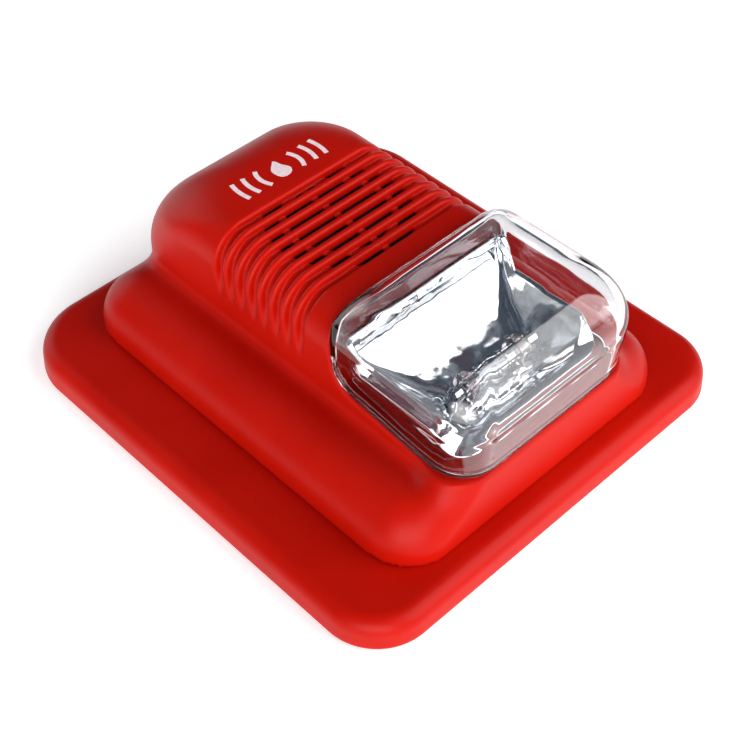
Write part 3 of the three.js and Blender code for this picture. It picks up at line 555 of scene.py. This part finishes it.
def aheadOfSeam(y, z, lift=0):
    # The space in front of the line where the lens meets the casing, drawn in from it by the lift.
    s = seam
    rear = np.interp(z, [s["cornerZ"], s["slantTop"]], [s["rearLowY"], s["rearTopY"]])
    deck = s["deckLow"] + (s["deckHigh"] - s["deckLow"]) * smoothStep(*s["deckClimb"], y)
    return eased(y - rear + lift, deck - z + lift, s["corner"] - lift)


def outerCasing(x, y, z):
    # The two steps of the casing, with a small fillet between them that swells towards the strobe's end.
    fillet = hump["fillet"] + hump["filletSwell"] * smoothStep(*hump["swellFrom"], y)
    both = joined(tierField(x, y, z), humpField(x, y, z), fillet)
    bound = outline(x, y, tier["half"], tier["front"], tier["rear"], tier["corner"], tier["corner"])
    return cutTo(both, bound, tier["edge"])


def grooveCentre(y):
    # Where the nearest groove's middle lies.
    step = np.clip(np.round((grille["firstY"] - y) / grille["pitch"]), 0, grille["grooves"] - 1)
    return grille["firstY"] - step * grille["pitch"]


def ribbedCasing(x, y, z):
    # Grooves sink from the casing's skin between round-backed ribs, and fade out down both side walls.
    g = grille
    skin = outerCasing(x, y, z)
    fade = smoothStep(g["fadeLow"], g["fadeHigh"], z)
    halfWidth = g["endHalfWidth"] + (g["halfWidth"] - g["endHalfWidth"]) * fade
    ribs = eased(halfWidth - np.abs(y - grooveCentre(y)), skin, g["ribRound"])
    grooved = joined(skin + g["depth"] * fade, ribs, g["valleyFillet"])
    onBand = (fade > 0) & (np.abs(y - g["bandY"]) < g["bandHalf"])
    return np.where(onBand, np.maximum(grooved, skin), skin)


def soundSlots(x, y, z):
    # Slots through the valleys' floors inside a circle, with one ring and one spoke left standing.
    g = grille
    away = np.hypot(x, y - g["centreY"])
    web = np.maximum(away - g["webOuter"], g["webInner"] - away)
    slots = np.maximum(np.abs(y - grooveCentre(y)) - g["slotHalf"], away - g["openRadius"])
    slots = np.maximum(slots, -web)
    return np.maximum(np.maximum(slots, g["spokeHalf"] - np.abs(x)), g["slotLow"] - z)


def housingField(x, y, z):
    # The ribbed casing less its seam for the lens and its rooms, with bosses, collars and the sounder's ring
    # joined on inside, and with their bores, the leads' holes and the sound slots cut.
    f, r = fittings, rooms
    mirrored = np.abs(x)
    skin = outerCasing(x, y, z)
    shell = cutTo(ribbedCasing(x, y, z), -aheadOfSeam(y, z), seam["edge"])

    hornRoom = humpField(x, y, z, hump["wall"], seam["rearTopY"] + r["hornGap"])
    ring = pillar(x, y, 0, grille["centreY"], 0)
    hornRoom = np.minimum(hornRoom, np.maximum(ring - grille["openRadius"], z - grille["thinnedTo"]))
    lampRoom = np.maximum(outline(x, y, *r["lampRoom"]), z - r["lampRoomTop"])
    pocket = np.maximum(outline(x, y, *r["lampPocket"]), seam["deckLow"] - z)
    hollow = np.minimum(np.minimum(hornRoom, tierField(x, y, z, tier["wall"])),
                        np.minimum(lampRoom, pocket))
    shell = cutTo(shell, -hollow, r["edge"])

    def four(atX, front, rear, radius):
        return np.minimum(pillar(mirrored, y, atX, front, radius), pillar(mirrored, y, atX, rear, radius))

    posts = (plate["postX"], plate["postFront"], plate["postRear"])
    bossPlace = (f["bossX"], f["bossFront"], f["bossRear"])
    bosses = np.maximum(four(*bossPlace, f["bossRadius"]), f["bossLow"] - z)
    collars = np.maximum(four(*posts, f["collarRadius"]), f["collarLow"] - z)
    inside = np.maximum(np.minimum(bosses, collars), z - tier["top"] + f["insideGap"])
    inside = np.maximum(inside, skin + f["insideGap"])
    ringWall = np.maximum(np.maximum(ring - f["ringOuter"], f["ringInner"] - ring), f["ringLow"] - z)
    shell = joined(shell, inside, f["fillet"])
    shell = np.minimum(shell, np.maximum(ringWall, skin + f["ringGap"]))

    bores = np.maximum(four(*bossPlace, f["pilot"]), z - f["pilotTop"])
    sockets = four(*posts, plate["postRadius"] + f["socketGap"])
    sockets = np.maximum(sockets, z - plate["postTop"] - f["socketEnd"])
    leads = np.maximum(pillar(mirrored, y, r["leadX"], lampY, r["leadRadius"]), z - r["leadTop"])
    shell = np.maximum(shell, -np.minimum(np.minimum(bores, sockets), leads))
    shell = cutTo(shell, -soundSlots(x, y, z), grille["slotEdge"])
    return np.maximum(shell, tier["foot"] - z)


housingGrid = (
    spread((-46.6, -30, 0.95), (-30, 30, 0.75), (30, 46.6, 0.95)),
    spread((-61, -16.5, 0.85), (-16.5, -9, 0.7), (-9, 23.4, 0.31), (23.4, 59, 0.95)),
    spread((8.3, 41, 0.95), (41, 48.4, 0.42)),
)
housing = levelSkin("frontHousingMoulding", housingField, housingGrid)
finishPiece(housing, "head", "red_abs", "front_housing")


lens = {
    "half": 29.4, "front": -60.6, "rear": -16.5, "top": lensTop, "shoulder": 11.5, "frontEdge": 14,
    "rearEdge": 7, "frontCorner": 9.5, "rearCorner": 3, "topCorner": 9, "wall": 2.3, "lift": 1.2,
    "bulge": 0.9, "bulgeZ": 38, "sharpest": 0.8, "innerEdge": 0.3, "rimEdge": 0.5,
}


def lensBody(x, y, z, inset):
    # A rounded box that draws in a little towards its foot, each side ending in its own quarter round.
    s = lens
    top = s["top"] - inset
    level = np.minimum(z, top)
    bulge = inset + s["bulge"] * np.clip((s["bulgeZ"] - level) / (s["bulgeZ"] - seam["deckLow"]), 0, None)
    rise = np.clip((level - hump["top"]) / (s["top"] - hump["top"]), 0, 1)
    rearCorner = s["rearCorner"] + (s["topCorner"] - s["rearCorner"]) * rise - inset
    side = outline(
        x, y, s["half"] - bulge - pullIn(s["shoulder"] - inset, top, level),
        s["front"] + bulge + pullIn(s["frontEdge"] - inset, top, level),
        s["rear"] - inset - pullIn(s["rearEdge"] - inset, top, level),
        s["frontCorner"] - inset, np.maximum(s["sharpest"], rearCorner))
    return np.maximum(side * leaning(s["shoulder"] - inset, top, level), z - top)


def lensField(x, y, z):
    # The lens's body less a smaller one inside it, kept to the space in front of the seam.
    shell = cutTo(lensBody(x, y, z, 0), -lensBody(x, y, z, lens["wall"]), lens["innerEdge"])
    return cutTo(shell, aheadOfSeam(y, z, lens["lift"]), lens["rimEdge"])


lensGrid = (spread((-30.2, 30.2, 0.55)), spread((-61.4, -15.6, 0.55)), spread((25.5, 54.8, 0.55)))
strobeLens = levelSkin("strobeLensMoulding", lensField, lensGrid)
finishPiece(strobeLens, "head", "clear_pc", "strobe_lens")


bowl = {
    "floor": bowlFloor, "full": 42,             # heights where the swelling starts and ends
    # at the floor, at the full height, and how fast it swells
    "half": (14, 25, 2.2), "front": (-47.5, -54, 5), "rear": (-35.5, -19.4, 2.3),
    "rimFront": 30, "rimSide": 35, "rimRear": 41.3, "frontRise": (-52.5, -46), "rearRise": (-25, -20.5),
    "floorCorner": 5.5, "frontCorner": 5, "rearCorner": 1.6, "wall": 0.6, "floorRows": 6, "rows": 72,
    "cornerColumns": 22, "sideColumns": 62,
    "apronHalf": 24.6, "apronFront": -54.8, "apronRear": -19.2, "apronFoot": 26.7, "apronRise": 11,
    "apronRiseFrom": (-24, -20.4), "apronCorner": 1.5, "apronRows": 24, "turnOver": 0.25, "lip": 0.3,
}


def roundedRing(half, front, rear, frontCorner, rearCorner, columns):
    # Points round a rounded rectangle: each corner is a quarter circle, and straight sides join them.
    # The sizes may be columns of numbers, one for each height, and the points come back as a row for each.
    onCorner, onSide = columns
    arcs = []
    corners = ((1, rear, rearCorner), (-1, rear, rearCorner),
               (-1, front, frontCorner), (1, front, frontCorner))
    for quarter, (side, end, radius) in enumerate(corners):
        angle = np.linspace(quarter, quarter + 1, onCorner) * math.pi / 2
        inwards = -1 if quarter < 2 else 1
        arcs.append((side * (half - radius) + radius * np.cos(angle),
                     end + inwards * radius + radius * np.sin(angle)))
    share = np.linspace(0, 1, onSide + 2)[1:-1]
    around = []
    for axis in (0, 1):
        pieces = []
        for quarter in range(4):
            here, after = arcs[quarter][axis], arcs[(quarter + 1) % 4][axis]
            pieces += [here, here[..., -1:] * (1 - share) + after[..., :1] * share]
        around.append(np.concatenate(pieces, -1))
    return around


def reflectorBowl():
    # At every height the wall is a rounded rectangle whose half width, front and rear each swell from the
    # floor as 1 - (1 - t) to a power, so the rear wall is close to a parabola and the cheeks lean out. The
    # rim lies low in front and climbs to the rear, and past it the sheet turns over and falls to the foot.
    b = bowl
    columns = (b["cornerColumns"], b["sideColumns"])

    def wallAt(t):
        half, front, rear = (start + (end - start) * (1 - (1 - t) ** power)
                             for start, end, power in (b["half"], b["front"], b["rear"]))
        settled = np.clip(2 * t, 0, 1)
        frontCorner, rearCorner = (b["floorCorner"] + (b[end] - b["floorCorner"]) * settled
                                   for end in ("frontCorner", "rearCorner"))
        return roundedRing(half, front, rear, frontCorner, rearCorner, columns)

    rimY = wallAt(np.ones((1, 1)))[1][0]
    rim = b["rimFront"] + (b["rimSide"] - b["rimFront"]) * smoothStep(*b["frontRise"], rimY)
    rim = rim + (b["rimRear"] - b["rimSide"]) * smoothStep(*b["rearRise"], rimY)

    levels = np.linspace(0, 1, 4 * b["rows"])[:, None]      # the wall is read between these
    allX, allY = wallAt(levels)
    share = np.linspace(0, 1, b["rows"])[:, None] * (rim - b["floor"]) / (b["full"] - b["floor"])
    spot = share * (len(levels) - 1)
    low = np.minimum(spot.astype(int), len(levels) - 2)
    column = np.arange(len(rimY))[None, :]
    past = spot - low
    x, y = (side[low, column] * (1 - past) + side[low + 1, column] * past for side in (allX, allY))
    z = b["floor"] + (b["full"] - b["floor"]) * share

    inner = np.linspace(0.01, 1, b["floorRows"], False)[:, None]
    middle = (b["front"][0] + b["rear"][0]) / 2
    floorX, floorY, floorZ = x[0] * inner, middle + (y[0] - middle) * inner, z[0] + 0 * inner

    footX, footY = roundedRing(np.full((1, 1), b["apronHalf"]), b["apronFront"], b["apronRear"],
                               b["frontCorner"] + b["apronCorner"], b["rearCorner"], columns)
    footZ = b["apronFoot"] + smoothStep(*b["apronRiseFrom"], rimY) * b["apronRise"]
    out = np.linspace(0, 1, b["apronRows"] + 1)[1:, None]
    over = np.sin(np.clip(out / b["turnOver"], 0, 1) * math.pi / 2)
    down = np.clip((out - b["turnOver"]) / (1 - b["turnOver"]), 0, 1)
    lipZ = z[-1] - b["lip"] * (1 - np.sqrt(1 - over ** 2))
    x = np.concatenate([floorX, x, x[-1] + (footX - x[-1]) * over])
    y = np.concatenate([floorY, y, y[-1] + (footY - y[-1]) * over])
    z = np.concatenate([floorZ, z, lipZ + (footZ - lipZ) * down])
    points = np.stack([x, y, z], -1).reshape(-1, 3)
    item = meshOf("reflectorBowl", points, gridFaces(*x.shape)[:, ::-1])
    thick = item.modifiers.new("wall", "SOLIDIFY")
    thick.thickness = b["wall"] * millimetre
    thick.offset = -1
    return item


finishPiece(reflectorBowl(), "head", "vacuum_chrome", "reflector")


lamp = {
    "outer": 2.2, "inner": 1.5, "tip": 1.2, "seal": 1.6, "boreTip": (0.8, 0.2), "boreNeck": 0.7,
    "pole": 0.01, "columns": 48,
}


def turnedTube(name, profile):
    # A closed profile of (place along X, radius) turned once round the lamp's line.
    along, radius = (np.array(side) for side in zip(*profile))
    columns = lamp["columns"]
    angle = np.linspace(0, 2 * math.pi, columns, False)
    x = np.repeat(along, columns)
    y = lampY + np.outer(radius, np.cos(angle)).ravel()
    z = lampZ + np.outer(radius, np.sin(angle)).ravel()
    return meshOf(name, np.stack([x, y, z], 1), gridFaces(len(profile), columns))


def flashTube():
    # A drawn glass tube with rounded, sealed ends and a bore that stops short of them.
    half, tip = tubeHigh[0], lamp["tip"]
    steps = np.linspace(0, math.pi / 2, 8)
    end = [(half - tip * (1 - math.sin(s)), lamp["outer"] - tip * (1 - math.cos(s))) for s in steps]
    outside = [(half, lamp["pole"])] + end[::-1]
    boreEnd = half - lamp["seal"]
    far, near = lamp["boreTip"]
    bore = [(boreEnd - far, lamp["inner"]), (boreEnd - near, lamp["inner"] * lamp["boreNeck"]),
            (boreEnd, lamp["pole"])]
    shell = turnedTube("flashTubeGlass", outside + [(-a, r) for a, r in outside[::-1]])
    hollow = turnedTube("flashTubeBore", [(-a, r) for a, r in bore[::-1]] + bore)
    return shell, hollow


tubeGlass, tubeBore = flashTube()
finishPiece(tubeGlass, "head", "quartz_glass", "xenon_tube")
finishPiece(tubeBore, "head", "quartz_glass")


coil = {"radius": 2.8, "half": 5, "turns": 3, "wire": 0.2, "stepsPerTurn": 40, "sides": 10}


def coiledWire(name, c):
    # A round section carried along a helix that winds round the lamp's line.
    angle = np.linspace(0, 2 * math.pi * c["turns"], c["turns"] * c["stepsPerTurn"])
    x = np.linspace(-c["half"], c["half"], len(angle))
    outward = np.stack([np.zeros_like(angle), np.cos(angle), np.sin(angle)], 1)
    centre = np.stack([x, np.full_like(x, lampY), np.full_like(x, lampZ)], 1) + c["radius"] * outward
    along = np.gradient(centre, axis=0)
    along /= np.linalg.norm(along, axis=1)[:, None]
    sideways = np.cross(along, outward)
    around = np.linspace(0, 2 * math.pi, c["sides"], False)[None, :, None]
    ring = outward[:, None] * np.cos(around) + sideways[:, None] * np.sin(around)
    points = (centre[:, None] + c["wire"] * ring).reshape(-1, 3)
    return meshOf(name, points, gridFaces(len(angle), c["sides"])[:, ::-1])


finishPiece(coiledWire("triggerWireWinding", coil), "head", "zinc_steel", "trigger_wire")


# The printed mark is a plain flame between two groups of three sound arcs.
mark = {
    "y": 30.9, "z": housingHigh[2], "height": 6.6, "lift": 0.04, "sink": 0.02, "flameHalf": 2.3,
    "sway": 0.5, "stroke": 1.2, "arcs": (6.2, 9.8, 13.0), "spread": 33, "squash": 0.98, "steps": 40,
}


def printFilm(name, left, right):
    # A thin printed shape between two edges, each a row of points from end to end, on the casing's flat top.
    edge = np.stack([left, right], 1).reshape(-1, 2)
    count = len(left)
    levels = (mark["z"] - mark["sink"], mark["z"] + mark["lift"])
    points = np.concatenate([np.column_stack([edge, np.full(len(edge), z)]) for z in levels])
    row = np.arange(count - 1) * 2
    top = 2 * count
    faces = np.concatenate([
        np.stack([top + row, top + row + 1, top + row + 3, top + row + 2], 1),
        np.stack([row, row + 2, row + 3, row + 1], 1),
        np.stack([row, top + row, top + row + 2, row + 2], 1),
        np.stack([row + 1, row + 3, top + row + 3, top + row + 1], 1),
        np.array([[0, 1, top + 1, top], [top - 2, 2 * top - 2, 2 * top - 1, top - 1]]),
    ])
    return meshOf(name, points, faces, smooth=False)


def soundArc(name, radius, side):
    # Part of a ring round the flame's middle; every arc is as long as the innermost.
    reach = mark["spread"] * mark["arcs"][0] / radius
    angle = np.radians(np.linspace(-reach, reach, mark["steps"]))
    inner, outer = (
        np.stack([side * r * np.cos(angle), mark["y"] + r * np.sin(angle) * mark["squash"]], 1)
        for r in (radius - mark["stroke"] / 2, radius + mark["stroke"] / 2))
    return printFilm(name, *((outer, inner) if side > 0 else (inner, outer)))


def flame():
    # A drop that leans: its half width swells low down and pinches to a tip that curls to one side.
    t = np.linspace(0.004, 0.996, mark["steps"])
    width = mark["flameHalf"] * np.sin(math.pi * t ** 0.62) ** 0.8
    y = mark["y"] - mark["height"] / 2 + mark["height"] * t
    lean = mark["sway"] * np.sin(2.6 * math.pi * t) * t
    return printFilm("printFlame", np.stack([lean + width, y], 1), np.stack([lean - width, y], 1))


prints = [flame()]
for i, radius in enumerate(mark["arcs"]):
    for side, word in ((-1, "Left"), (1, "Right")):
        prints.append(soundArc(f"printArc{word}{i + 1}", radius, side))
for item in prints:
    finishPiece(item, "head", "silicone", look=ink)


studio = {
    "floorSize": 6, "floorDrop": 0.4, "floorCloud": 400, "floorGlow": 0.42, "room": ("#5F6B79", 0.5),
    # each panel: direction, how wide it is, how wide with its soft border (degrees), brightness
    "panels": (((0.45, -0.72, 0.53), 27, 30, 3.15), ((-0.72, -0.66, 0.22), 18, 34, 4.9),
               ((-0.1, 0.9, 0.3), 12, 26, 1.5)),
}


def addFloor(s):
    half, drop = s["floorSize"] / 2 / millimetre, s["floorDrop"]
    corners = np.array([[-half, -half], [half, -half], [half, half], [-half, half]])
    corners = np.column_stack([corners, np.full(4, -drop)])
    floor = meshOf("studioFloor", corners, np.array([[0, 1, 2, 3]]), smooth=False)
    material, tree, where = newMaterial("paintedStudioFloor")
    cloud = addNode(tree, "TexNoise", {"Vector": where, "Scale": scaleFor(s["floorCloud"]), "Detail": 1})
    dress(tree, {"Roughness": 0.9, "Specular IOR Level": 0.1, "Emission Color": linear("#FFFFFF"),
                 "Emission Strength": s["floorGlow"]},
          (cloud.outputs[0], (0, 1), "#FDFDFD", "#FFFFFF"))
    floor.data.materials.append(material)


def addRoom(s):
    # A dim grey room with large soft white panels, painted on the world by direction.
    world = bpy.data.worlds.new("studioRoom")
    bpy.context.scene.world = world
    world.use_nodes = True
    tree = world.node_tree
    direction = addNode(tree, "TexCoord", {}).outputs["Generated"]
    colour, strength = s["room"]
    light = strength                            # grows by one panel after another
    for aim, inner, outer, bright in s["panels"]:
        facing = addNode(tree, "VectorMath", {0: direction, 1: Vector(aim).normalized()},
                         operation="DOT_PRODUCT")
        spot = addNode(tree, "MapRange", {
            "Value": facing.outputs["Value"], "From Min": math.cos(math.radians(outer)),
            "From Max": math.cos(math.radians(inner)), "To Max": bright,
        }, interpolation_type="SMOOTHSTEP")
        light = addNode(tree, "Math", {0: spot.outputs[0], 1: light}, operation="ADD").outputs[0]
    onPanel = addNode(tree, "Math", {0: light, 1: strength * 1.2}, operation="GREATER_THAN")
    paint = addNode(tree, "Mix", {0: onPanel.outputs[0], 6: linear(colour), 7: linear("#FFFFFF")},
                    data_type="RGBA")
    feed(tree, tree.nodes["Background"], {"Color": paint.outputs[2], "Strength": light})


addFloor(studio)
addRoom(studio)
bpy.context.scene.view_settings.view_transform = "Standard"
print("floor and room made")

print("pieces finished")
